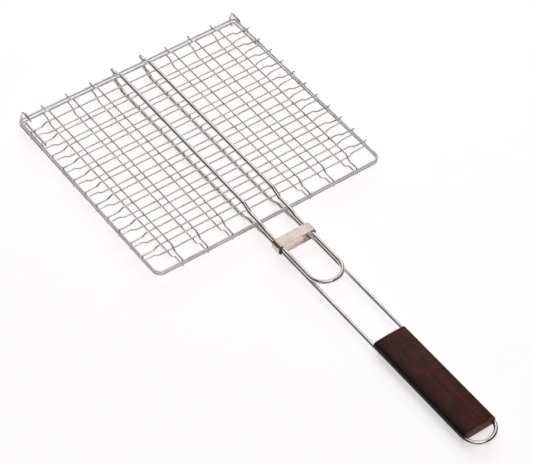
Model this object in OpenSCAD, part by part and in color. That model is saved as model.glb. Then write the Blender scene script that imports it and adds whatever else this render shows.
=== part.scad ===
// Hinged wire grill basket: two dished wire grids, a pair of handle rods, a wooden grip,
// two wire hinge hooks and a sliding latch band. Each handle rod is drawn as two legs and a loop.
// X runs across the basket, -Y towards the grip, +Z up. Sizes are in millimetres.

/* [Basket] */
// Width of the rim, centre to centre of its side rails
basket_w = 297; // [240:1:360]
// Length of the rim, centre to centre of its hinge rail and front rail
basket_l = 283; // [230:1:340]
// Corner radius of the rim beside the handle, at the wire's centre
front_corner_r = 9; // [6:0.5:16]
// Corner radius of the rim at the hinge, at the wire's centre
hinge_corner_r = 4; // [3:0.1:4.2]

/* [Wire thickness] */
// Rim wire diameter
rim_d = 3; // [2.6:0.1:4]
// Mesh wire diameter
mesh_d = 2.1; // [1.5:0.1:2.4]
// Handle rod diameter
rod_d = 5; // [4:0.1:6]
// Hinge hook wire diameter
hook_d = 3; // [2.4:0.1:3.4]
// How far welded wires sink into each other
weld_sink = 0.15; // [0.05:0.01:0.25]

/* [Mesh] */
// Number of cross wires in each half
cross_count = 11; // [6:1:13]
// Distance from the hinge rail to the first cross wire
first_cross = 25.5; // [22:0.5:34]
// Distance from the last cross wire to the front rail
last_cross = 29.5; // [28:0.5:40]
// Number of thin long wires on each side of the handle rods
long_count = 3; // [1:1:4]
// Distance from the middle to the innermost thin long wire
long_inner_x = 51.6; // [36:0.1:60]
// Distance from the outermost thin long wire to the side rail
long_side_gap = 32.1; // [27:0.1:44]

/* [Dish] */
// How far each grid is dished out from its rim
cross_rise = 3.8; // [2:0.1:8]
// Flat length of a cross wire from its tip to its bend
cross_flat = 16; // [12:0.5:20]
// Length over which a cross wire is bent outwards
cross_run = 6.3; // [5:0.1:9]
// Flat length of a long wire from the hinge rail to its bend
long_hinge_flat = 6; // [4:0.5:7]
// Length over which a long wire is bent outwards at the hinge end
long_hinge_run = 8.6; // [7:0.1:10]
// Flat length of a long wire from its bend to the front rail
long_front_flat = 15; // [8:0.5:16]
// Length over which a long wire is bent back at the front
long_front_run = 6.6; // [6:0.1:9]
// Flat length of a handle rod from the hinge rail to its bend
rod_hinge_flat = 4.5; // [3:0.5:5]
// Length over which a handle rod is bent outwards at the hinge end
rod_hinge_run = 10.5; // [9:0.1:12]
// Flat length of a handle rod from its bend to the front rail
rod_front_flat = 13; // [8:0.5:14]
// Length over which a handle rod is bent back at the front
rod_front_run = 12; // [10:0.1:13]

/* [Wire ends] */
// How far the lid's long wires pass the hinge rail
lid_long_tip = 4.5; // [2:0.1:5]
// How far the lid's handle rods pass the hinge rail
lid_rod_tip = 7.3; // [6:0.1:9]
// How far the lid's cross wires pass the right rim
lid_cross_tip = 2; // [0.5:0.1:4]
// How far the tray's long wires and rods pass the hinge rail
tray_tip = 0.5; // [0:0.1:1]
// How far long wires pass the middle of the front rail
front_tip = 1.2; // [0:0.1:1.5]

/* [Hinge] */
// Gap between the two closed rims at the hinge
hinge_gap = 2.4; // [1.8:0.1:4]
// Gap between the two closed rims at the front
front_gap = 0.42; // [0.35:0.01:1.6]
// Distance from the side rail's centre to the hook wire's centre
hook_inset = 4.5; // [4.2:0.1:7]
// Length of the hook's straight shank from the hinge rail
hook_shank = 52; // [50:1:70]
// Gap between the hook's eye and the tray's hinge rail
hook_play = 0.4; // [0.3:0.05:0.8]
// Height of the hook's point above the lid's hinge rail
hook_point = 11; // [9:0.5:15]
// How far the left hook's tip lies towards the front
left_tip_y = 10; // [7:0.5:13]
// How far the left hook's tip is turned inwards
left_tip_x = 5.6; // [5:0.1:9]
// How far the right hook's tip lies towards the front
right_tip_y = 13; // [10:0.5:16]
// How far the right hook's tip is turned outwards, over the lid's side rail
right_tip_x = 3.6; // [2:0.1:5]
// Gap between the right hook's tip and the side rail under it
right_tip_gap = 0.6; // [0.4:0.1:2]

/* [Handle] */
// Distance from the middle to each handle rod
rod_x = 19.6; // [16:0.1:26]
// Length of the tray's handle from the front rail to the end of its loop
handle_l = 372; // [320:1:430]
// Length of the lid's handle from the front rail to the end of its loop
lid_handle_l = 117.5; // [100:0.5:140]
// Distance from the front rail to the start of the pinch bend
pinch_start = 5; // [4:0.5:8]
// Length of the pinch bend
pinch_run = 12; // [10:0.5:14]
// Gap between the two handles' rods at the end of the lid's loop
pinch_gap = 0.4; // [0.3:0.05:0.9]

/* [Latch band] */
// Width of the band along the handle
band_w = 13; // [9:0.5:18]
// Sheet thickness of the band
band_t = 0.9; // [0.6:0.1:1.4]
// Distance from the front rail to the middle of the closed band
band_out = 41; // [30:0.5:60]
// Gap between the band and the rods, above and below
band_gap = 0.35; // [0.3:0.05:0.6]
// Gap between the band and the rods at each side
band_side_gap = 2.2; // [1.7:0.1:2.4]
// Width of the seam in the bottom of the band
band_seam = 1; // [0.6:0.1:2]

/* [Grip] */
// Length of the wooden grip
grip_l = 146.5; // [110:0.5:160]
// How far the grip's sides reach past the rods' centres
grip_wrap = 1.4; // [0.5:0.1:2]
// Height of the grip above the rods' centres
grip_up = 7.6; // [5:0.1:12]
// Depth of the grip below the rods' centres
grip_down = 3.8; // [3.2:0.1:6]
// Edge radius along the top of the grip
grip_top_r = 4.5; // [2:0.1:4.5]
// Edge radius along the bottom of the grip
grip_bottom_r = 1.6; // [0.8:0.1:2.5]
// Open length between the grip and the inside of the loop
hang_gap = 12.5; // [6:0.1:20]
// Clearance around the rods in the grip's grooves
groove_gap = 0.05; // [0.02:0.01:0.1]

/* [Hidden] */
rim_r = rim_d / 2;
mesh_r = mesh_d / 2;
rod_r = rod_d / 2;
hook_r = hook_d / 2;
half_w = basket_w / 2;

// levels measured outwards from the rim's centre
mesh_on_rim = rim_r + mesh_r - weld_sink;
cross_out = mesh_on_rim + cross_rise;
long_out = cross_out + mesh_d - weld_sink;
rod_on_rim = rim_r + rod_r - weld_sink;
rod_out = cross_out + mesh_r + rod_r - weld_sink;
hook_level = mesh_on_rim - mesh_r - hook_r + weld_sink;

// the tray's handle rods pass the mesh at ground level
tray_rim_z = rod_out + rod_r;
hinge_lift = rim_d + hinge_gap;
front_lift = rim_d + front_gap;
closed_tilt = asin((hinge_lift - front_lift) / basket_l);
lid_drop = lid_handle_l * sin(closed_tilt);
rods_apart = rod_d + pinch_gap + lid_drop;
pinch = (front_lift + 2 * rod_on_rim - rods_apart) / 2;
handle_out = rod_on_rim - pinch;
handle_z = tray_rim_z - handle_out;

// the hinge rail's position puts the origin under the middle of the whole basket
whole_l = basket_l + handle_l + lid_rod_tip;
hinge_y = whole_l / 2 - lid_rod_tip;
front_y = hinge_y - basket_l;
loop_y = front_y - handle_l;

// mesh spacing
cross_pitch = (basket_l - first_cross - last_cross) / (cross_count - 1);
long_outer_x = half_w - long_side_gap;
long_pitch = long_count > 1 ? (long_outer_x - long_inner_x) / (long_count - 1) : 0;

// bend radii at the wires' centres
mesh_bend_r = 3.2;
rod_bend_r = 9;
pinch_bend_r = 14;
hook_bend_r = 3;
hook_point_r = 2.2;
hook_back_r = 8;
eye_r = rim_r + hook_play + hook_r;
hook_x = half_w - hook_inset;
right_tip_z = rim_r + hook_r + right_tip_gap;
hook_turn_y = 7.5;
hook_straight_z = 1.5;
hook_lean = 0.25;

// latch band
band_corner_room = 1.9;
band_corner_r = rod_r + band_corner_room;
band_half_w = rod_x + rod_r + band_side_gap;
band_floor_z = handle_z - rod_r - band_gap;
band_roof_z = handle_z + rods_apart + rod_r + band_gap;
band_h = band_roof_z - band_floor_z;
band_y = front_y - band_out;

// grip
grip_w = 2 * (rod_x + grip_wrap);
grip_near_y = loop_y + rod_d + hang_gap;
grip_groove_r = rod_r + groove_gap;
grip_over = 1;

// mesh fineness
mesh_sides = 8;
rod_sides = 16;
hook_sides = 12;
mesh_steps = 3;
rod_steps = 4;
hook_steps = 5;
corner_steps = 6;
round_fn = 48;
straight_overlap = 2;
same_point = 0.001;

plate = [0.80, 0.79, 0.77];
bright = [0.86, 0.85, 0.83];
warm_plate = [0.84, 0.76, 0.71];
dark_wood = [0.20, 0.11, 0.08];

function two_digits(i) = i < 10 ? str("0", i) : str(i);

// ---------- swept round wire ----------
function unit(v) = v / norm(v);

// one bend between three points, as points along an arc that touches both straights
function bend_points(a, p, b, r, steps) =
    let (u = unit(a - p), w = unit(b - p))
    let (angle = acos(max(-1, min(1, u * w))))
    let (cut = r / tan(angle / 2))
    let (c = p + unit(u + w) * (r / sin(angle / 2)))
    let (from = p + u * cut - c, to = p + w * cut - c)
    let (turn = 180 - angle)
    [for (k = [0:steps]) c + (from * sin(turn - turn * k / steps) + to * sin(turn * k / steps)) / sin(turn)];

// path through the corner points [point, bend radius, steps]
function bent_path(c) =
    let (n = len(c))
    let (raw = [
        for (i = [0:n - 1])
            each (i == 0 || i == n - 1 ? [c[i][0]]
                : bend_points(c[i - 1][0], c[i][0], c[i + 1][0], c[i][1], c[i][2]))
    ])
    [for (i = [0:len(raw) - 1]) if (i == 0 || norm(raw[i] - raw[i - 1]) > same_point) raw[i]];

function path_direction(p, i) =
    i == 0 ? unit(p[1] - p[0])
    : i == len(p) - 1 ? unit(p[i] - p[i - 1])
    : unit(unit(p[i] - p[i - 1]) + unit(p[i + 1] - p[i]));

function ring_points(at, along, side, r, n) =
    let (u = unit(side - (side * along) * along), v = cross(along, u))
    [for (k = [0:n - 1]) at + r * (cos(360 * (k + 0.5) / n) * u + sin(360 * (k + 0.5) / n) * v)];

// a round wire of radius r along the path p; side is a direction no stretch of it runs in
module swept_wire(p, r, n, side) {
    rings = [for (i = [0:len(p) - 1]) each ring_points(p[i], path_direction(p, i), side, r, n)];
    last = (len(p) - 1) * n;
    skin = [
        for (i = [0:len(p) - 2], k = [0:n - 1])
            let (a = i * n + k, b = i * n + (k + 1) % n)
            each [[a, a + n, b + n], [a, b + n, b]]
    ];
    caps = [[for (k = [0:n - 1]) k], [for (k = [n - 1:-1:0]) last + k]];
    polyhedron(points = rings, faces = concat(skin, caps), convexity = 10);
}

// ---------- the two halves, each drawn lid-side up around its own hinge rail ----------
// the tray is the half turned over
module tray_place() {
    translate([0, hinge_y, tray_rim_z])
        mirror([0, 0, 1])
            children();
}

module lid_place() {
    translate([0, hinge_y, tray_rim_z + hinge_lift])
        rotate([closed_tilt, 0, 0])
            children();
}

// one rounded corner of the rim with half of each rail that leaves it
module rim_corner(corner_r, rail_x, rail_y) {
    translate([half_w - corner_r, -corner_r, 0]) {
        rotate_extrude(angle = 90, $fn = round_fn)
            translate([corner_r, 0])
                circle(r = rim_r, $fn = round_fn);
        translate([corner_r, 0, 0])
            rotate([90, 0, 0])
                cylinder(r = rim_r, h = rail_y, $fn = round_fn);
        translate([0, corner_r, 0])
            rotate([0, -90, 0])
                cylinder(r = rim_r, h = rail_x, $fn = round_fn);
    }
}

module rim() {
    half_l = basket_l / 2 + straight_overlap;
    half_x = half_w + straight_overlap;
    for (side = [0, 1])
        mirror([side, 0, 0]) {
            rim_corner(hinge_corner_r, half_x - hinge_corner_r, half_l - hinge_corner_r);
            translate([0, -basket_l, 0])
                mirror([0, 1, 0])
                    rim_corner(front_corner_r, half_x - front_corner_r, half_l - front_corner_r);
        }
}

// cross wire i, its left tip flush with the rim and its right tip past it by tip
module cross_wire(i, tip) {
    y = -first_cross - (i - 1) * cross_pitch;
    left = -half_w - rim_r;
    right = half_w + rim_r + tip;
    bend_l = left + cross_flat;
    bend_r = -left - cross_flat;
    swept_wire(
        bent_path([
            [[left, y, mesh_on_rim]],
            [[bend_l, y, mesh_on_rim], mesh_bend_r, mesh_steps],
            [[bend_l + cross_run, y, cross_out], mesh_bend_r, mesh_steps],
            [[bend_r - cross_run, y, cross_out], mesh_bend_r, mesh_steps],
            [[bend_r, y, mesh_on_rim], mesh_bend_r, mesh_steps],
            [[right, y, mesh_on_rim]]
        ]),
        mesh_r, mesh_sides, [0, 1, 0]
    );
}

// thin long wires are numbered from left to right
function long_x(i) =
    i <= long_count ? -long_outer_x + (i - 1) * long_pitch
    : long_inner_x + (i - long_count - 1) * long_pitch;

module long_wire(i, tip) {
    x = long_x(i);
    far = -long_hinge_flat;
    near = -basket_l + long_front_flat;
    swept_wire(
        bent_path([
            [[x, tip, mesh_on_rim]],
            [[x, far, mesh_on_rim], mesh_bend_r, mesh_steps],
            [[x, far - long_hinge_run, long_out], mesh_bend_r, mesh_steps],
            [[x, near + long_front_run, long_out], mesh_bend_r, mesh_steps],
            [[x, near, mesh_on_rim], mesh_bend_r, mesh_steps],
            [[x, -basket_l - front_tip, mesh_on_rim]]
        ]),
        mesh_r, mesh_sides, [1, 0, 0]
    );
}

// where the legs of a handle rod run into its loop
function loop_start(reach) = -basket_l - reach + rod_r + rod_x;

// one leg of a handle rod, from its tip over the hinge rail to the loop
function rod_leg(x, tip, reach) =
    let (far = -rod_hinge_flat, near = -basket_l + rod_front_flat)
    let (nip = -basket_l - pinch_start)
    [
        [[x, tip, rod_on_rim]],
        [[x, far, rod_on_rim], rod_bend_r, rod_steps],
        [[x, far - rod_hinge_run, rod_out], rod_bend_r, rod_steps],
        [[x, near + rod_front_run, rod_out], rod_bend_r, rod_steps],
        [[x, near, rod_on_rim], rod_bend_r, rod_steps],
        [[x, nip, rod_on_rim], pinch_bend_r, rod_steps],
        [[x, nip - pinch_run, handle_out], pinch_bend_r, rod_steps],
        [[x, loop_start(reach), handle_out]]
    ];

module handle_leg(x, tip, reach) {
    swept_wire(bent_path(rod_leg(x, tip, reach)), rod_r, rod_sides, [1, 0, 0]);
}

// the half turn that joins the two legs of a handle rod
module handle_loop(reach) {
    translate([0, loop_start(reach), handle_out])
        rotate([0, 0, 180])
            rotate_extrude(angle = 180, $fn = round_fn)
                translate([rod_x, 0])
                    circle(r = rod_r, $fn = round_fn);
}

// hook under the first two cross wires of the lid, with an eye around both hinge rails
// its tip is turned outwards by turned, and lies reach towards the front and level above the rim
module hinge_hook(turned, reach, level) {
    foot = -hinge_lift - eye_r;
    swept_wire(
        bent_path([
            [[hook_x, -hook_shank, hook_level]],
            [[hook_x, -hook_turn_y, hook_level], hook_bend_r, hook_steps],
            [[hook_x, -eye_r, foot], eye_r, hook_steps],
            [[hook_x, eye_r, foot], eye_r, hook_steps],
            [[hook_x + sign(turned) * hook_lean, eye_r, hook_straight_z], hook_back_r, hook_steps],
            [[hook_x + turned * hook_lean, 0, hook_point], hook_point_r, hook_steps],
            [[hook_x + turned, -reach, level]]
        ]),
        hook_r, hook_sides, [1, 0, 0]
    );
}

// ---------- latch band ----------
function arc_points(cx, cz, r, from, steps) =
    [for (k = [0:steps]) [cx + r * cos(from + 90 * k / steps), cz + r * sin(from + 90 * k / steps)]];

function rounded_box(w, low, high, r_low, r_high) = concat(
    arc_points(w / 2 - r_high, high - r_high, r_high, 0, corner_steps),
    arc_points(-w / 2 + r_high, high - r_high, r_high, 90, corner_steps),
    arc_points(-w / 2 + r_low, low + r_low, r_low, 180, corner_steps),
    arc_points(w / 2 - r_low, low + r_low, r_low, 270, corner_steps)
);

module along_handle(length) {
    rotate([90, 0, 0])
        linear_extrude(height = length)
            children();
}

module latch_band() {
    outer_w = 2 * (band_half_w + band_t);
    outer_r = band_corner_r + band_t;
    cut_z = band_floor_z - 2 * band_t;
    color(warm_plate)
        translate([0, band_y + band_w / 2, 0])
            along_handle(band_w)
                difference() {
                    polygon(rounded_box(outer_w, band_floor_z - band_t, band_roof_z + band_t, outer_r, outer_r));
                    polygon(rounded_box(2 * band_half_w, band_floor_z, band_roof_z, band_corner_r, band_corner_r));
                    translate([-band_seam / 2, cut_z])
                        square([band_seam, 3 * band_t]);
                }
}

// ---------- grip ----------
module grip() {
    color(dark_wood)
        translate([0, grip_near_y + grip_l, handle_z])
            difference() {
                along_handle(grip_l)
                    polygon(rounded_box(grip_w, -grip_down, grip_up, grip_bottom_r, grip_top_r));
                for (side = [-1, 1])
                    translate([side * rod_x, grip_over, 0])
                        rotate([90, 0, 0])
                            cylinder(r = grip_groove_r, h = grip_l + 2 * grip_over, $fn = round_fn);
                translate([0, front_y + basket_l + loop_start(handle_l) - grip_near_y - grip_l, 0])
                    rotate([0, 0, 180])
                        rotate_extrude(angle = 180, $fn = round_fn)
                            translate([rod_x, 0])
                                circle(r = grip_groove_r, $fn = round_fn);
            }
}

// ---------- named pieces ----------
module lower_rim() {
    color(bright)
        tray_place()
            rim();
}

module upper_rim() {
    color(bright)
        lid_place()
            rim();
}

module lower_cross_wire(i) {
    color(plate)
        tray_place()
            cross_wire(i, 0);
}

module upper_cross_wire(i) {
    color(plate)
        lid_place()
            cross_wire(i, lid_cross_tip);
}

module lower_long_wire(i) {
    color(plate)
        tray_place()
            long_wire(i, tray_tip);
}

module upper_long_wire(i) {
    color(plate)
        lid_place()
            long_wire(i, lid_long_tip);
}

module lower_rod_left() {
    color(bright)
        tray_place()
            handle_leg(-rod_x, tray_tip, handle_l);
}

module lower_rod_right() {
    color(bright)
        tray_place()
            handle_leg(rod_x, tray_tip, handle_l);
}

module lower_rod_loop() {
    color(bright)
        tray_place()
            handle_loop(handle_l);
}

module upper_rod_left() {
    color(bright)
        lid_place()
            handle_leg(-rod_x, lid_rod_tip, lid_handle_l);
}

module upper_rod_right() {
    color(bright)
        lid_place()
            handle_leg(rod_x, lid_rod_tip, lid_handle_l);
}

module upper_rod_loop() {
    color(bright)
        lid_place()
            handle_loop(lid_handle_l);
}

module hinge_hook_right() {
    color(bright)
        lid_place()
            hinge_hook(right_tip_x, right_tip_y, right_tip_z);
}

module hinge_hook_left() {
    color(bright)
        lid_place()
            mirror([1, 0, 0])
                hinge_hook(-left_tip_x, left_tip_y, hook_level);
}

lower_rim();
upper_rim();
for (i = [1:cross_count]) {
    lower_cross_wire(i);
    upper_cross_wire(i);
}
for (i = [1:2 * long_count]) {
    lower_long_wire(i);
    upper_long_wire(i);
}
lower_rod_left();
lower_rod_right();
lower_rod_loop();
upper_rod_left();
upper_rod_right();
upper_rod_loop();
grip();
latch_band();
hinge_hook_left();
hinge_hook_right();
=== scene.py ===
# %% [markdown]
# # A hinged wire grill basket
# Two wire grids close on each other like a book, food is held between them, and a sliding band keeps the
# two handles together. The measured model is loaded first, as a fixed frame that nothing moves. Every
# place below is read from it. The only other lengths are those of bends and edges, written as millimetres
# times mm, because Blender works in metres.

# %% Load the measured basket
import math

import bpy
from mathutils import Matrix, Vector


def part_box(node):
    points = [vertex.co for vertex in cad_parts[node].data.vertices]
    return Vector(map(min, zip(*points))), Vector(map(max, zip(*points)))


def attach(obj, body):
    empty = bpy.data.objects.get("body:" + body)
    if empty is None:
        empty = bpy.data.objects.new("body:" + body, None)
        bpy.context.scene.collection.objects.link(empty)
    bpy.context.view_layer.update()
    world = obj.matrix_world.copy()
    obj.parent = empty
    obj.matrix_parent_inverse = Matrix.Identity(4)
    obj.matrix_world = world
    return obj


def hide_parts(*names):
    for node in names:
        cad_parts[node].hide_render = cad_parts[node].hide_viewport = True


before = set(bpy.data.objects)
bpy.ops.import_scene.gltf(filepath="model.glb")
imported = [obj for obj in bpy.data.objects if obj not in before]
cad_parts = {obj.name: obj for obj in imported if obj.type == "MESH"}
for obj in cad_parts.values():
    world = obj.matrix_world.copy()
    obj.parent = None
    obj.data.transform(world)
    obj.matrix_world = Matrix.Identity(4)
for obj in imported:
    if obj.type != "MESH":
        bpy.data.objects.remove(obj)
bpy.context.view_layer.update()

mm = 0.001

# %% [markdown]
# ## Camera
# The basket is seen from the left of the grip and from well above, through a long lens, so that its far
# side is hardly smaller than its near side. The camera is set down first, because everything else is
# judged through it. It is turned by its own viewing direction, with its top edge level.

# %% Camera
turned, raised = math.radians(-35.56), math.radians(47.48)
camera_at, focal_length, film_width = (-0.9193, -1.2353, 1.7034), 143.5, 36
towards_camera = Vector((
    math.sin(turned) * math.cos(raised),
    -math.cos(turned) * math.cos(raised),
    math.sin(raised),
))
lens = bpy.data.cameras.new("long_lens")
lens.sensor_width, lens.lens = film_width, focal_length
lens.clip_start, lens.clip_end = 0.05, 50
camera = bpy.data.objects.new("camera", lens)
camera.location = camera_at
camera.rotation_mode = "QUATERNION"
camera.rotation_quaternion = (-towards_camera).to_track_quat("-Z", "Y")
bpy.context.scene.collection.objects.link(camera)
bpy.context.scene.camera = camera
print("camera", round(camera.location.length, 2), "m from the basket's middle")

# %% [markdown]
# ## Measuring the frame
# The rim gives the plane of each grid. The tray lies face up, so its wires step down from its rim, and
# the lid's step up. One function for each half turns "across, along, out from the rim" into a place in
# the model, so both halves can be bent from the same list of lengths. The radii are a hair less than the
# measured ones, so that the finished wires stay inside the measured box. Crossing wires are sunk a little
# way into each other, because they are pressed together while they are welded.

# %% Planes of the two grids
tray_low, tray_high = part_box("lower_rim")
lid_low, lid_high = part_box("upper_rim")
rim_r = (tray_high.z - tray_low.z) / 2
half_w = tray_high.x - rim_r
hinge_y = tray_high.y - rim_r
basket_l = tray_high.y - tray_low.y - 2 * rim_r
tray_z = (tray_high.z + tray_low.z) / 2
lid_z = lid_high.z - rim_r
lid_slope = math.asin((lid_high.z - lid_low.z - 2 * rim_r) / basket_l)


def on_tray(across, along, out):
    return Vector((across, hinge_y + along, tray_z - out))


def on_lid(across, along, out):
    c, s = math.cos(lid_slope), math.sin(lid_slope)
    return Vector((across, hinge_y + along * c - out * s, lid_z + along * s + out * c))


halves = {"lower": (on_tray, "tray"), "upper": (on_lid, "lid")}
print("rim", round(2 * half_w / mm), "x", round(basket_l / mm), "mm")
print("lid slopes", round(math.degrees(lid_slope), 2), "degrees")

# %% Wire sizes and levels
sunk = 0.15 * mm
mesh_r, rod_r, hook_r = 1.03 * mm, 2.45 * mm, 1.48 * mm
cross_low, cross_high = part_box("lower_cross_wire_01")
thin_half = (cross_high.y - cross_low.y) / 2
mesh_level = tray_z - cross_high.z + thin_half
cross_level = tray_z - cross_low.z - thin_half
long_level = tray_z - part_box("lower_long_wire_1")[0].z - thin_half
rod_low, rod_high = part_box("lower_rod_left")
rod_half = (rod_high.x - rod_low.x) / 2
rod_x = -(rod_high.x + rod_low.x) / 2
rod_out = tray_z - rod_low.z - rod_half
rail_to_rod = rim_r + rod_half - sunk
handle_out = tray_z - (rod_high.z - rod_half)
print("levels in mm", [round(v / mm, 2) for v in (mesh_level, cross_level, long_level, rail_to_rod, rod_out)])

# %% [markdown]
# ## Bending wire
# Every wire here is cut from a coil and bent on a machine: a straight, a bend, a straight. The same is
# done in edit mode. A disc is the cut end, extruding it draws out a straight, and spinning it about a
# point beside it makes a bend. That gives even rings and true arcs, which a curve object with a bevel
# also would, but here each step can be watched. With no window open, spin turns the other way round, so
# it is given a negative angle.

# %% Picking up and selecting
def put_down():
    if bpy.context.object and bpy.context.object.mode != "OBJECT":
        bpy.ops.object.mode_set(mode="OBJECT")
    bpy.ops.object.select_all(action="DESELECT")


def pick_up(piece):
    put_down()
    piece.select_set(True)
    bpy.context.view_layer.objects.active = piece


def edit(piece, kind, chosen):
    """Goes into edit mode on a piece with only the chosen faces or points selected."""
    pick_up(piece)
    bpy.ops.object.mode_set(mode="EDIT")
    bpy.ops.mesh.select_mode(type=kind)
    bpy.ops.mesh.select_all(action="DESELECT")
    bpy.ops.object.mode_set(mode="OBJECT")
    parts = piece.data.polygons if kind == "FACE" else piece.data.vertices
    for part in parts:
        part.select = chosen(part)
    bpy.ops.object.mode_set(mode="EDIT")


print("pieces can be picked up")

# %% Starting and finishing a piece
same_spot = 0.001 * mm


def new_piece(name):
    """The primitive just added becomes a named piece with its place in its mesh."""
    piece = bpy.context.object
    piece.name = piece.data.name = name
    bpy.ops.object.transform_apply(location=True, rotation=True, scale=True)
    return piece


def done(piece, angle=40):
    """Merges doubled points, turns the faces outwards and smooths all but the sharper edges."""
    pick_up(piece)
    bpy.ops.object.mode_set(mode="EDIT")
    bpy.ops.mesh.select_all(action="SELECT")
    bpy.ops.mesh.remove_doubles(threshold=same_spot)
    bpy.ops.mesh.normals_make_consistent(inside=False)
    bpy.ops.object.mode_set(mode="OBJECT")
    bpy.ops.object.shade_smooth_by_angle(angle=math.radians(angle))
    put_down()
    return piece


print("points nearer than", same_spot / mm, "mm are merged")

# %% Drawing out and bending
least_turn = 0.001


def draw_out(step):
    bpy.ops.mesh.extrude_region_move(TRANSFORM_OT_translate={"value": step})


def swell(at, size):
    bpy.ops.transform.resize(value=(size, size, size), center_override=at)


def draw_through(corners, trim, narrow, steps):
    """Draws the selected end through corners of (point, bend radius), with both tips narrowed."""
    points = [p for p, _ in corners]
    headings = [(b - a).normalized() for a, b in zip(points, points[1:])]
    here = points[0]
    if trim:
        draw_out(headings[0] * trim)
        here = here + headings[0] * trim
        swell(here, 1 / narrow)
    for k in range(1, len(corners) - 1):
        arriving, leaving = headings[k - 1], headings[k]
        turn = arriving.angle(leaving)
        lead = corners[k][1] * math.tan(turn / 2)
        start = points[k] - arriving * lead
        draw_out(start - here)
        if turn > least_turn:
            axle = arriving.cross(leaving).normalized()
            middle = start + axle.cross(arriving) * corners[k][1]
            bpy.ops.mesh.spin(
                steps=steps, angle=-turn, center=middle, axis=axle, dupli=False, use_auto_merge=False,
            )
        here = points[k] + leaving * lead
    draw_out(points[-1] - headings[-1] * trim - here)
    if trim:
        draw_out(headings[-1] * trim)
        swell(points[-1], narrow)


print("corners of less than", least_turn, "radians get no bend")


# %% Bending a wire
def bend_wire(name, corners, radius, sides, steps, burr=0.35, cut_end=0.72, closed=False):
    """A round wire from its first corner to its last. A closed one ends where it starts."""
    narrow = 1 if closed else cut_end
    first = (corners[1][0] - corners[0][0]).normalized()
    put_down()
    bpy.ops.mesh.primitive_circle_add(
        vertices=sides, radius=radius * narrow, fill_type="NGON",
        location=corners[0][0], rotation=first.to_track_quat("Z", "Y").to_euler(),
    )
    piece = new_piece(name)
    edit(piece, "FACE", lambda face: True)
    draw_through(corners, 0 if closed else burr * radius, narrow, steps)
    if closed:
        edit(piece, "FACE", lambda face: len(face.vertices) == sides)
        bpy.ops.mesh.delete(type="ONLY_FACE")
    return done(piece)


print("bench ready")


# %% [markdown]
# ## Shader maths
# A finish is written as Python expressions. Amount wraps a socket that carries one number, and adding or
# multiplying two of them adds the Math node that does it. Finish holds the material, and its node method
# makes any other node. Everything is patterned on Object coordinates, which are metres on the basket.

# %% Amounts
class Amount:
    """A socket that carries a number, with the usual arithmetic."""

    def __init__(self, finish, socket):
        self.finish, self.socket = finish, socket

    def work(self, operation, first, second=0.0, clamp=False):
        settings = {"operation": operation, "use_clamp": clamp}
        return self.finish.node("ShaderNodeMath", settings, {0: first, 1: second})

    def __add__(self, other): return self.work("ADD", self, other)
    def __radd__(self, other): return self.work("ADD", other, self)
    def __sub__(self, other): return self.work("SUBTRACT", self, other)
    def __rsub__(self, other): return self.work("SUBTRACT", other, self)
    def __mul__(self, other): return self.work("MULTIPLY", self, other)
    def __rmul__(self, other): return self.work("MULTIPLY", other, self)
    def __truediv__(self, other): return self.work("DIVIDE", self, other)
    def between(self): return self.work("ADD", self, 0.0, True)
    def size(self): return self.work("ABSOLUTE", self)
    def most(self, other): return self.work("MAXIMUM", self, other)


print("amounts ready")


# %% Finishes
class Finish:
    """One material with a Principled shader whose fixed sockets are set straight away."""

    def __init__(self, name, **fixed):
        self.material = bpy.data.materials.new(name)
        self.material.use_nodes = True
        self.tree = self.material.node_tree
        self.shader = self.tree.nodes["Principled BSDF"]
        for socket, number in fixed.items():
            self.shader.inputs[socket.replace("_", " ")].default_value = number
        self.place = self.node("ShaderNodeTexCoord", result="Object")
        x, y, z = (self.node("ShaderNodeSeparateXYZ", inputs={0: self.place}, result=k) for k in range(3))
        self.x, self.y, self.z = x, y, z

    @staticmethod
    def find(sockets, key):
        if isinstance(key, int):
            return sockets[key]
        return next((s for s in sockets if s.identifier == key), None) or sockets[key]

    def node(self, kind, settings=None, inputs=None, result=0):
        made = self.tree.nodes.new(kind)
        for key, value in (settings or {}).items():
            if key == "stops":
                marks = made.color_ramp.elements
                while len(marks) < len(value):
                    marks.new(0.5)
                for mark, (at, shade) in zip(marks, value):
                    mark.position, mark.color = at, (*shade, 1)
            else:
                setattr(made, key, value)
        for key, value in (inputs or {}).items():
            self.feed(self.find(made.inputs, key), value)
        return Amount(self, self.find(made.outputs, result))

    def feed(self, socket, value):
        if isinstance(value, Amount):
            self.tree.links.new(value.socket, socket)
        else:
            socket.default_value = value

    def noise(self, stretch, detail=3.0, roughness=0.5, twist=0.0):
        """Noise whose lumps are stretched: so many to the metre along X, Y and Z."""
        spot = self.node("ShaderNodeMapping", inputs={"Vector": self.place, "Scale": stretch})
        return self.node("ShaderNodeTexNoise", inputs={
            "Vector": spot, "Scale": 1.0, "Detail": detail, "Roughness": roughness, "Distortion": twist})

    def blend(self, share, first, second):
        return self.node("ShaderNodeMix", {"data_type": "RGBA"}, {
            "Factor_Float": share, "A_Color": first, "B_Color": second}, "Result_Color")

    def wear(self, colour, roughness, height, depth, strength=1.0):
        """Sends the finished patterns to the shader."""
        self.feed(self.shader.inputs["Base Color"], colour)
        self.feed(self.shader.inputs["Roughness"], roughness)
        bump = self.node("ShaderNodeBump", inputs={"Strength": strength, "Distance": depth, "Height": height})
        self.feed(self.shader.inputs["Normal"], bump)
        return self.material


print("finishes ready")

# %% [markdown]
# ## Plating
# The wires are steel, drawn through a die and plated with nickel and chrome after welding. Drawing leaves
# fine lines along the wire, and plating in a tank leaves a soft cloudiness and a brownish cast in places.
# The lines run with the wire, so the cross wires, the long wires and the bent pieces get one finish each.

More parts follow.
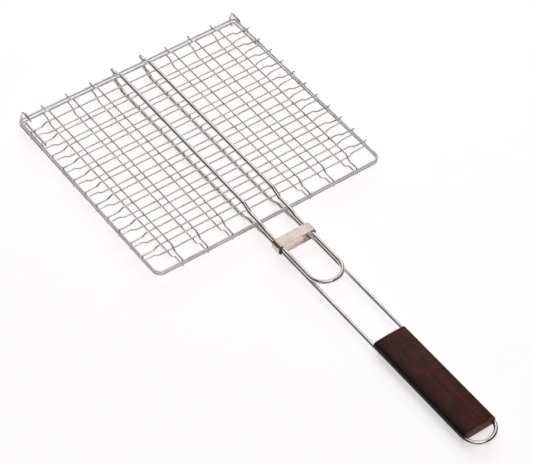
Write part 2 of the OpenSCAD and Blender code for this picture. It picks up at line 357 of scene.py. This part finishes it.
# %% Plated wire finishes
def plated(name, lines, clean, stained, gloss, cast, line_depth=0.02):
    """Cast above 0 makes a wire more stained all over. The drawn lines' depth is in millimetres."""
    f = Finish(name, Metallic=1.0)
    cloud = f.noise((70, 70, 70), 4, 0.6)
    speck = f.noise((900, 900, 900), 2, 0.6)
    drawn = f.noise(lines, 2, 0.4)
    stain = ((cloud - 0.42) * 3.2 + (speck - 0.5) * 0.9 + cast).between()
    colour = f.blend(stain, (*clean, 1), (*stained, 1))
    rough = gloss + stain * 0.13 + (drawn - 0.5) * 0.10 + (speck - 0.5) * 0.08
    return f.wear(colour, rough.most(0.05), drawn * 0.7 + speck * 0.3, line_depth * mm, 0.55)


across_lines, along_lines, even_lines = (60, 4200, 4200), (4200, 60, 4200), (1400, 1400, 1400)
nickel, dull_nickel = (0.90, 0.87, 0.86), (0.69, 0.655, 0.64)
warm_nickel, brown_nickel = (0.77, 0.725, 0.715), (0.53, 0.455, 0.435)
chrome, dull_chrome = (0.74, 0.715, 0.705), (0.50, 0.44, 0.42)
weld_grey, weld_brown = (0.48, 0.45, 0.43), (0.24, 0.20, 0.17)
cross_plate = plated("plated_cross_wire", across_lines, nickel, dull_nickel, 0.36, 0.0)
long_plate = plated("plated_long_wire", along_lines, warm_nickel, brown_nickel, 0.20, 0.05)
rim_plate = plated("plated_rim", even_lines, nickel, dull_nickel, 0.34, -0.05)
rod_plate = plated("plated_rod", along_lines, chrome, dull_chrome, 0.12, -0.25, 0.012)
hook_plate = plated("plated_hook", even_lines, nickel, dull_nickel, 0.26, 0.0)
weld_plate = plated("plated_weld", even_lines, weld_grey, weld_brown, 0.30, 0.25, 0.05)
print("six plated finishes")

# %% [markdown]
# ## Rims
# Each rim is one 3 mm wire bent into a rectangle and butt welded in the middle of the front rail, where
# the handle hides it. It is drawn round from that weld back to it. The two end discs are taken away and
# the last ring is merged with the first, so the tube is closed and has no wall inside.

# %% Two rims
hinge_corner, front_corner = 4 * mm, 9 * mm


def settle(piece, body, node, finish):
    """Gives a piece its finish and its body, and hides the measured node it stands for."""
    if not piece.data.materials:
        piece.data.materials.append(finish)
    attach(piece, body)
    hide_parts(node)


for half, (place, body) in halves.items():
    corners = [
        (place(0, -basket_l, 0), 0),
        (place(half_w, -basket_l, 0), front_corner),
        (place(half_w, 0, 0), hinge_corner),
        (place(-half_w, 0, 0), hinge_corner),
        (place(-half_w, -basket_l, 0), front_corner),
        (place(0, -basket_l, 0), 0),
    ]
    rim = bend_wire(f"plated_{half}_rim", corners, rim_r, sides=20, steps=8, closed=True)
    settle(rim, body, f"{half}_rim", rim_plate)
    print(rim.name, len(rim.data.polygons), "faces")

# %% [markdown]
# ## Mesh wires
# Each grid has eleven cross wires, which step out from the side rails and carry six thin long wires and
# the handle rod on their outer side. All cross wires of a half are alike, so one is bent and copied, each
# copy with its own mesh. A lid wire sticks out a little past the right rail, where it was cut.

# %% Places of the mesh wires
def names_of(kind):
    return sorted(n.removeprefix("lower_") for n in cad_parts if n.startswith("lower_" + kind))


cross_names, long_names = names_of("cross_wire"), names_of("long_wire")
cross_along = [sum(corner.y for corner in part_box("lower_" + name)) / 2 - hinge_y for name in cross_names]
long_across = [sum(corner.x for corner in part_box("lower_" + name)) / 2 for name in long_names]
print("cross wires at", [round(v / mm) for v in cross_along], "mm from the hinge")
print("long wires at", [round(v / mm) for v in long_across], "mm from the middle")

# %% Cross wires
cross_flat, cross_run, mesh_bend = 16 * mm, 6.3 * mm, 3.2 * mm


def copy_piece(piece, name, shift):
    """A copy with its own mesh, moved by shift, which keeps the finish of the first."""
    pick_up(piece)
    bpy.ops.object.duplicate()
    twin = bpy.context.object
    twin.location = shift
    twin.name = twin.data.name = name
    bpy.ops.object.transform_apply(location=True, rotation=False, scale=False)
    return twin


for half, (place, body) in halves.items():
    low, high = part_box(f"{half}_cross_wire_01")
    bend = low.x + cross_flat
    first_along = cross_along[0]
    corners = [
        (place(low.x, first_along, mesh_level), 0),
        (place(bend, first_along, mesh_level), mesh_bend),
        (place(bend + cross_run, first_along, cross_level), mesh_bend),
        (place(-bend - cross_run, first_along, cross_level), mesh_bend),
        (place(-bend, first_along, mesh_level), mesh_bend),
        (place(high.x, first_along, mesh_level), 0),
    ]
    first_wire = bend_wire(f"mesh_{half}_{cross_names[0]}", corners, mesh_r, sides=12, steps=4)
    first_wire.data.materials.append(cross_plate)
    for name, along in zip(cross_names[1:], cross_along[1:]):
        twin = copy_piece(first_wire, f"mesh_{half}_{name}", place(0, along, 0) - place(0, first_along, 0))
        settle(twin, body, f"{half}_{name}", cross_plate)
    settle(first_wire, body, f"{half}_{cross_names[0]}", cross_plate)
    print(half, len(cross_names), "cross wires of", len(first_wire.data.polygons), "faces")

# %% Thin long wires
long_hinge_flat, long_hinge_run = 6 * mm, 8.6 * mm
long_front_flat, long_front_run = 15 * mm, 6.6 * mm
for half, (place, body) in halves.items():
    low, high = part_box(f"{half}_{long_names[0]}")
    near = -basket_l + long_front_flat
    x = long_across[0]
    corners = [
        (place(x, high.y - hinge_y, mesh_level), 0),
        (place(x, -long_hinge_flat, mesh_level), mesh_bend),
        (place(x, -long_hinge_flat - long_hinge_run, long_level), mesh_bend),
        (place(x, near + long_front_run, long_level), mesh_bend),
        (place(x, near, mesh_level), mesh_bend),
        (place(x, low.y - hinge_y, mesh_level), 0),
    ]
    first_wire = bend_wire(f"mesh_{half}_{long_names[0]}", corners, mesh_r, sides=12, steps=4)
    first_wire.data.materials.append(long_plate)
    for name, across in zip(long_names[1:], long_across[1:]):
        twin = copy_piece(first_wire, f"mesh_{half}_{name}", Vector((across - x, 0, 0)))
        settle(twin, body, f"{half}_{name}", long_plate)
    settle(first_wire, body, f"{half}_{long_names[0]}", long_plate)
    print(half, len(long_names), "long wires of", len(first_wire.data.polygons), "faces")

# %% [markdown]
# ## Handle rods
# Each handle is one thick rod bent into a long hairpin. Its legs are welded over the hinge rail and the
# front rail and across every cross wire, then they pinch together past the front rail and run to the
# loop. The measured model keeps legs and loop apart for collision, but the real rod is one piece, so one
# piece stands for all three. The press that welds a leg to the hinge rail squeezes its back flat and
# makes it a little wider there, which is done by scaling the points above the rail.

# %% Corners of a rod
rod_bend, pinch_bend = 9 * mm, 14 * mm
rod_hinge_flat, rod_hinge_run, rod_front_flat, rod_front_run = 4.5 * mm, 10.5 * mm, 13 * mm, 12 * mm
pinch_start, pinch_run = 5 * mm, 12 * mm
weld_reach, pressed, widened, flat_height = 3.4 * mm, 1.1 * mm, 1.22, 0.80


def rod_corners(place, tip, loop_end):
    """The hairpin's corners: up the left leg from its tip, round the loop and back down the right leg."""
    nip = -basket_l - pinch_start
    leg = [
        (tip, rail_to_rod, 0),
        (weld_reach, rail_to_rod, 0),
        (pressed, rail_to_rod, 0),
        (-pressed, rail_to_rod, 0),
        (-rod_hinge_flat, rail_to_rod, rod_bend),
        (-rod_hinge_flat - rod_hinge_run, rod_out, rod_bend),
        (-basket_l + rod_front_flat + rod_front_run, rod_out, rod_bend),
        (-basket_l + rod_front_flat, rail_to_rod, rod_bend),
        (nip, rail_to_rod, pinch_bend),
        (nip - pinch_run, handle_out, pinch_bend),
        (loop_end, handle_out, rod_x),
    ]
    if tip < weld_reach:
        del leg[1:3]
    left = [(place(-rod_x, along, out), bend) for along, out, bend in leg]
    right = [(place(rod_x, along, out), bend) for along, out, bend in reversed(leg)]
    return left + right


print("legs", round(2 * rod_x / mm, 1), "mm apart")


# %% Two bent rods
def over_rail(v):
    return abs(v.co.y - hinge_y) < 2 * mm


for half, (place, body) in halves.items():
    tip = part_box(f"{half}_rod_left")[1].y - hinge_y
    loop_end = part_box(f"{half}_rod_loop")[0].y + rod_half - hinge_y
    corners = rod_corners(place, tip, loop_end)
    rod = bend_wire(f"handle_{half}_rod", corners, rod_r, sides=24, steps=8)
    flat = place(0, 0, rail_to_rod + flat_height * rod_r).z
    side = 1 if half == "upper" else -1
    for leg_x in (-rod_x, rod_x):
        edit(rod, "VERT", lambda v: over_rail(v) and abs(v.co.x - leg_x) < 2 * rod_r)
        bpy.ops.transform.resize(value=(widened, 1, 1), center_override=(leg_x, hinge_y, flat))
    edit(rod, "VERT", lambda v: over_rail(v) and (v.co.z - flat) * side > 0)
    bpy.ops.transform.resize(value=(1, 1, 0), center_override=(0, hinge_y, flat))
    done(rod)
    rod.data.materials.append(rod_plate)
    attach(rod, body)
    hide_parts(f"{half}_rod_left", f"{half}_rod_right", f"{half}_rod_loop")
    print(rod.name, "ends at", round(loop_end / mm, 1), "mm from the hinge,", len(rod.data.polygons), "faces")

# %% [markdown]
# ## Hinge hooks
# The lid hangs on the tray by two wire hooks. Each runs forward under the lid's first two cross wires,
# drops round both hinge rails in an eye, and comes back over in a tall bend. Both tips are turned to the
# right, so the left one ends inside the rim and the right one ends just over the side rail.

# %% Two hooks
hook_inset, hook_play, hook_half = 4.5 * mm, 0.4 * mm, 1.5 * mm
hook_x = half_w - hook_inset
eye_r = rim_r + hook_play + hook_half
foot = tray_z - lid_z - eye_r
clear_of_rail = rim_r + hook_half + 0.6 * mm
hook_run, hook_drop, drop_bend = 52 * mm, 7.5 * mm, 3 * mm
back_lean, back_low, back_bend = 0.25 * mm, 1.5 * mm, 8 * mm
peak, peak_bend = 11 * mm, 2.2 * mm
tips = {"right": (hook_x, 3.6 * mm, -13 * mm, clear_of_rail), "left": (-hook_x, 5.6 * mm, -10 * mm, 0)}
for where, (x, tip_across, tip_along, tip_out) in tips.items():
    corners = [
        (on_lid(x, -hook_run, 0), 0),
        (on_lid(x, -hook_drop, 0), drop_bend),
        (on_lid(x, -eye_r, foot), eye_r),
        (on_lid(x, eye_r, foot), eye_r),
        (on_lid(x + back_lean, eye_r, back_low), back_bend),
        (on_lid(x + tip_across / 4, 0, peak), peak_bend),
        (on_lid(x + tip_across, tip_along, tip_out), 0),
    ]
    hook = bend_wire(f"wire_hinge_hook_{where}", corners, hook_r, sides=16, steps=8)
    settle(hook, "lid", f"hinge_hook_{where}", hook_plate)
    print(hook.name, len(hook.data.polygons), "faces")

# %% [markdown]
# ## Welds
# Where two wires cross, they were pressed together and welded by current, which squeezes a small lip of
# steel out of the joint. Modelling each lip by itself would be slow, so one bead is shaped from a coarse
# ball, flattened and pulled out round its waist, and copied from crossing to crossing inside one mesh.

# %% Weld beads
waist, drawn_in = 0.1, 0.82
bead_sizes = {"thin": (1.3 * mm, 0.55 * mm), "thick": (1.7 * mm, 0.7 * mm)}


def weld_beads(name, centres, wide, high):
    """One mesh of beads, the first shaped and the others copied from it in edit mode."""
    put_down()
    bpy.ops.mesh.primitive_uv_sphere_add(segments=8, ring_count=6, radius=wide, location=centres[0])
    beads = new_piece(name)
    middle = centres[0].z
    edit(beads, "VERT", lambda v: abs(v.co.z - middle) > waist * wide)
    bpy.ops.transform.resize(value=(drawn_in, drawn_in, high / wide), center_override=centres[0])
    edit(beads, "VERT", lambda v: True)
    for before, after in zip(centres, centres[1:]):
        bpy.ops.mesh.duplicate_move(TRANSFORM_OT_translate={"value": after - before})
    return done(beads, 60)


print("bead sizes in mm", {kind: (wide / mm, high / mm) for kind, (wide, high) in bead_sizes.items()})

# %% Beads at the crossings
for half, (place, body) in halves.items():
    thin, thick = [], []
    for along in cross_along:
        thin += [place(x, along, (cross_level + long_level) / 2) for x in long_across]
        thin += [place(side * half_w, along, rim_r) for side in (-1, 1)]
        thick += [place(side * rod_x, along, cross_level + mesh_r) for side in (-1, 1)]
    for rail in (0, -basket_l):
        thin += [place(x, rail, rim_r) for x in long_across]
        thick += [place(side * rod_x, rail, rim_r) for side in (-1, 1)]
    if half == "upper":
        thick += [place(x, along, hook_half) for x in (-hook_x, hook_x) for along in cross_along[:2]]
    for kind, centres in (("thin", thin), ("thick", thick)):
        beads = weld_beads(f"{kind}_{half}_welds", centres, *bead_sizes[kind])
        beads.data.materials.append(weld_plate)
        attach(beads, body)
        print(beads.name, len(centres), "beads,", len(beads.data.polygons), "faces")

# %% [markdown]
# ## Latch band
# The band is a strip of plated sheet wrapped round all four handle legs. Its ends nearly meet under them,
# at an open seam. The strip's cut end is a thin rectangle, drawn round the handles exactly as a wire is.
# A bevel then takes the sharpness off the edges, as tumbling does to the real one.

# %% Latch band
band_low, band_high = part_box("latch_band")
band_t, band_corner, half_seam, softened = 0.9 * mm, 4.85 * mm, 0.15 * mm, 0.25 * mm
band_half = band_high.x - band_t / 2
floor_z, roof_z = band_low.z + band_t / 2, band_high.z - band_t / 2
band_y = (band_low.y + band_high.y) / 2
path = [
    (half_seam, floor_z, 0), (band_half, floor_z, band_corner), (band_half, roof_z, band_corner),
    (-band_half, roof_z, band_corner), (-band_half, floor_z, band_corner), (-half_seam, floor_z, 0),
]
corners = [(Vector((x, band_y, z)), bend) for x, z, bend in path]
put_down()
bpy.ops.mesh.primitive_plane_add(size=1, location=corners[0][0], rotation=(0, math.pi / 2, 0))
bpy.context.object.scale = (band_t, band_high.y - band_low.y, 1)
band = new_piece("wrapped_latch_band")
edit(band, "FACE", lambda face: True)
draw_through(corners, trim=0, narrow=1, steps=8)
done(band)
pick_up(band)
soften = band.modifiers.new("softened_edges", "BEVEL")
soften.width, soften.segments = softened, 3
soften.limit_method, soften.angle_limit = "ANGLE", math.radians(50)
bpy.ops.object.modifier_apply(modifier=soften.name)
done(band)
print(band.name, len(band.data.polygons), "faces")

# %% Latch band finish
clean_sheet, heated_sheet = (0.79, 0.68, 0.63, 1), (0.50, 0.41, 0.31, 1)
bend_from, bend_gain = 17.5 * mm, 260
f = Finish("polished_latch_sheet", Metallic=1.0)
brushed = f.noise((40, 3200, 3200), 3, 0.5)
smear = f.noise((150, 150, 150), 4, 0.6)
near_bend = ((f.x.size() - bend_from) * bend_gain).between()
heat = (near_bend * 0.55 + (smear - 0.5) * 2.2).between()
sheet = f.blend(heat, clean_sheet, heated_sheet)
band.data.materials.append(f.wear(sheet, 0.17 + brushed * 0.12 + heat * 0.05, brushed, 0.012 * mm, 0.4))
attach(band, "latch")
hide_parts("latch_band")
print("band finish made")

# %% [markdown]
# ## Wooden grip
# The grip is a stained hardwood block, crowned on top, with a groove down each side for the rods and
# round its end for the start of the loop. A cube is cut into lengthwise strips by bisecting it, the strips
# are lowered towards the sides to make the crown, and the long edges are bevelled. The grooves are then
# cut with a copy of the bent rod that is a hair thicker, which is how a tight fit is made sure of.

# %% Grip block
grip_low, grip_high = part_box("grip")
grip_mid = (grip_low + grip_high) / 2
grip_half = grip_high.x
strips, crown = (4.5 * mm, 9 * mm, 13 * mm), 0.9 * mm
put_down()
bpy.ops.mesh.primitive_cube_add(size=1, location=grip_mid)
bpy.context.object.scale = grip_high - grip_low
grip = new_piece("wooden_grip")
for strip in (*(-s for s in reversed(strips)), 0, *strips):
    edit(grip, "FACE", lambda face: True)
    bpy.ops.mesh.bisect(plane_co=(strip, 0, 0), plane_no=(1, 0, 0))
for strip in (*strips, grip_half):
    edit(grip, "VERT", lambda v: v.co.z > grip_mid.z and abs(abs(v.co.x) - strip) < 0.1 * mm)
    bpy.ops.transform.translate(value=(0, 0, -crown * (strip / grip_half) ** 2))
print("grip block", [round(v / mm, 1) for v in grip_high - grip_low])


# %% Rounded edges of the grip
top_round, bottom_round, end_round, shortest_long_edge = 4.2 * mm, 1.6 * mm, 0.7 * mm, 10 * mm


def round_edges(piece, chosen, width, segments):
    """Bevels the lengthwise edges whose two ends are both chosen."""
    pick_up(piece)
    bpy.ops.object.mode_set(mode="EDIT")
    bpy.ops.mesh.select_mode(type="EDGE")
    bpy.ops.mesh.select_all(action="DESELECT")
    bpy.ops.object.mode_set(mode="OBJECT")
    spots = [v.co for v in piece.data.vertices]
    for edge in piece.data.edges:
        edge.select = all(chosen(spots[k]) for k in edge.vertices) and \
            abs(spots[edge.vertices[0]].y - spots[edge.vertices[1]].y) > shortest_long_edge
    bpy.ops.object.mode_set(mode="EDIT")
    bpy.ops.mesh.bevel(offset=width, segments=segments, profile=0.5, affect="EDGES")
    bpy.ops.object.mode_set(mode="OBJECT")


top_edge = grip_high.z - crown - 0.2 * mm
round_edges(grip, lambda p: abs(p.x) > grip_half - 0.1 * mm and p.z > top_edge, top_round, 7)
round_edges(grip, lambda p: abs(p.x) > grip_half - 0.1 * mm and p.z < grip_low.z + 0.1 * mm, bottom_round, 4)
ends = grip.modifiers.new("eased_ends", "BEVEL")
ends.width, ends.segments = end_round, 3
ends.limit_method, ends.angle_limit = "ANGLE", math.radians(60)
pick_up(grip)
bpy.ops.object.modifier_apply(modifier=ends.name)
done(grip, 35)
print("grip rounded,", len(grip.data.polygons), "faces")

# %% Grooves for the rods
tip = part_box("lower_rod_left")[1].y - hinge_y
loop_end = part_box("lower_rod_loop")[0].y + rod_half - hinge_y
groove_room = 0.1 * mm
groove_path = rod_corners(on_tray, tip, loop_end)
cutter = bend_wire("groove_cutter", groove_path, rod_r + groove_room, sides=24, steps=8)
pick_up(grip)
cut = grip.modifiers.new("rod_grooves", "BOOLEAN")
cut.operation, cut.object, cut.solver = "DIFFERENCE", cutter, "EXACT"
bpy.ops.object.modifier_apply(modifier=cut.name)
bpy.data.objects.remove(cutter)
done(grip, 35)
print("grooves cut,", len(grip.data.polygons), "faces")

# %% [markdown]
# ## Stained wood
# Wood grain is long cells lying along the piece, so all its patterns are noise stretched along Y. Broad
# streaks set the reddish and blackish bands, a finer one draws the grain, and short dark dashes are the
# pores. Both long sides are blended towards near black as painted shade, over a wider strip on the left.
# The stain is thinner on the end grain, and rubbed off in spots along the top edge of that end, where the
# hand and the wall hook touch it.

# %% Wood finish
f = Finish("stained_grip_wood", Coat_Roughness=0.28, Coat_IOR=1.45, Specular_IOR_Level=0.15)
streak = f.noise((260, 9, 260), 4, 0.55, 0.6)
grain = f.noise((1500, 28, 1500), 3, 0.6, 0.3)
pore = f.noise((2600, 110, 2600), 1, 0.5)
mottle = f.noise((70, 45, 70), 4, 0.65)
tone = (streak * 0.40 + grain * 0.36 + mottle * 0.48 - 0.12).between()
stops = [
    (0.30, (0.030, 0.007, 0.005)),
    (0.46, (0.074, 0.016, 0.010)),
    (0.60, (0.130, 0.029, 0.016)),
    (0.80, (0.185, 0.048, 0.028)),
]
shade = f.node("ShaderNodeValToRGB", {"stops": stops}, {"Fac": tone})
# Painted shade: both long sides of the grip are darkened towards near black, over a wider strip on the left.
painted_side_shade, pore_black = (0.010, 0.004, 0.003, 1), (0.008, 0.004, 0.003, 1)
end_brown, bare_brown = (0.13, 0.055, 0.034, 1), (0.30, 0.13, 0.055, 1)
left_painted_shade = (-1 * f.x - (grip_half - 12 * mm)) / (9 * mm)
right_painted_shade = (f.x - (grip_half - 6 * mm)) / (5 * mm)
side_painted_shade = left_painted_shade.most(right_painted_shade).between()
shade = f.blend(side_painted_shade * 0.9, shade, painted_side_shade)
pits = ((pore - 0.60) * 9).between()
shade = f.blend(pits * 0.7, shade, pore_black)
near_end = (1 - (f.y - grip_low.y) / (0.9 * mm)).between()
shade = f.blend(near_end * 0.55, shade, end_brown)
top_rim = ((f.z - (grip_high.z - 2.2 * mm)) / (0.8 * mm)).between()
rubbed = (near_end * top_rim * ((mottle - 0.42) * 6)).between()
shade = f.blend(rubbed, shade, bare_brown)
f.feed(f.shader.inputs["Coat Weight"], 0.10 - rubbed * 0.1)
roughness = 0.46 + grain * 0.14 + rubbed * 0.2
relief = grain * 0.55 - pits * 0.8 + streak * 0.2
grip.data.materials.append(f.wear(shade, roughness, relief, 0.12 * mm, 0.6))
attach(grip, "tray")
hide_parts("grip")
print("wood finish made")

# %% [markdown]
# ## Floor and light
# The floor is a sheet of matt plastic lit from below as well, a light table, so that the wires hardly
# throw a shadow. Plated wire shows its surroundings rather than itself. A broad soft panel behind it, and
# a small one low on the right, draw the bright side of each rod, and the dim warm room on the left draws
# the dark line beside it. The small panel above fills in the wood.

# %% Floor
under_rods, floor_w = 0.2 * mm, 14
sheet_glow, lit_white = 0.59, (0.985, 0.99, 1, 1)
put_down()
bpy.ops.mesh.primitive_plane_add(size=1, location=(0, 0, -under_rods))
bpy.context.object.scale = (floor_w, floor_w, 1)
ground = new_piece("floor")
f = Finish("light_table", Emission_Color=lit_white, Emission_Strength=sheet_glow)
fleck = f.noise((30, 30, 30), 3, 0.5)
sheet_colour = f.blend(fleck, (0.86, 0.86, 0.86, 1), (0.89, 0.89, 0.885, 1))
ground.data.materials.append(f.wear(sheet_colour, 0.8 + fleck * 0.1, fleck, 0.02 * mm, 0.1))
print("floor", floor_w, "m wide laid", under_rods / mm, "mm under the rods")


# %% Lights
def panel(name, at, wide, power):
    """A square soft light that faces the basket's middle: its place and width in metres, power in watts."""
    lamp = bpy.data.lights.new(name, "AREA")
    lamp.shape, lamp.size, lamp.energy = "SQUARE", wide, power
    holder = bpy.data.objects.new(name, lamp)
    holder.location = at
    holder.rotation_mode = "QUATERNION"
    holder.rotation_quaternion = Vector(at).to_track_quat("Z", "Y")
    bpy.context.scene.collection.objects.link(holder)


panel("top_panel", at=(-0.17, -1.22, 3.27), wide=2.3, power=22)
panel("back_panel", at=(1.13, 1.76, 2.42), wide=4.2, power=49)
panel("right_panel", at=(2.42, 1.65, 0.75), wide=1.4, power=3.8)
room_colour, room_light = (0.62, 0.48, 0.41, 1), 0.13
world = bpy.data.worlds.new("studio_room")
world.use_nodes = True
backdrop = world.node_tree.nodes["Background"]
backdrop.inputs["Color"].default_value = room_colour
backdrop.inputs["Strength"].default_value = room_light
bpy.context.scene.world = world
bpy.context.scene.view_settings.view_transform = "Standard"
print("three panels and a dim room")

# %% Update the scene
bpy.context.view_layer.update()
